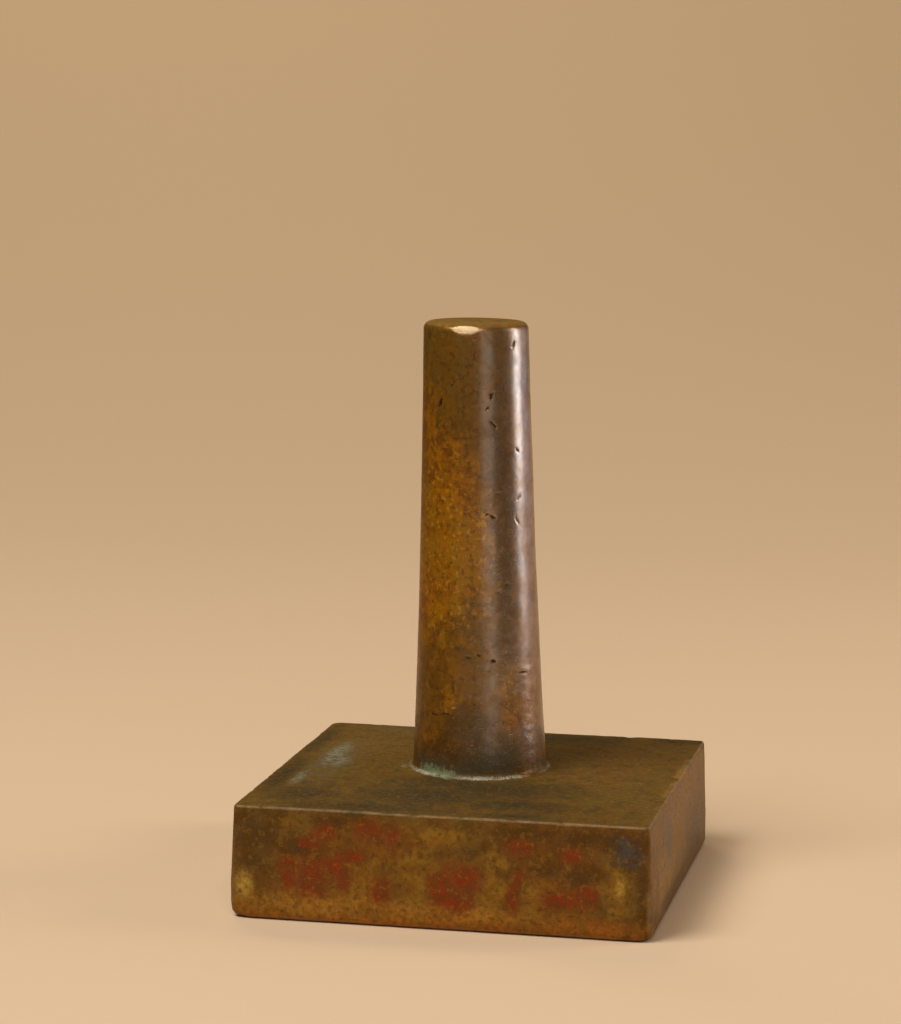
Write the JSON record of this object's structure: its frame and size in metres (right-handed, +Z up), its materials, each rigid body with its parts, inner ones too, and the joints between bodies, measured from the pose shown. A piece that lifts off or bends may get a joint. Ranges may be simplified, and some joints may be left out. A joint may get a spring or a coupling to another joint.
{
  "type": "bronze seal",
  "caption": "Solid cast bronze seal: a thick square plate with a relief face beneath and a tall tapering round handle to stamp it with.",
  "frame": {"origin": "centre of the seal face, the underside that the seal stands on", "axes": "+Z up along the handle, -Y towards the plate's front side, +X to the right seen from the front"},
  "size_m": [0.07, 0.07, 0.0959],
  "materials": {
    "bronze": "old cast bronze, handled smooth, with a brown and ochre patina, specks of green corrosion and traces of red seal paste"
  },
  "bodies": {
    "root": {"seal": "bronze"}
  },
  "joints": []
}
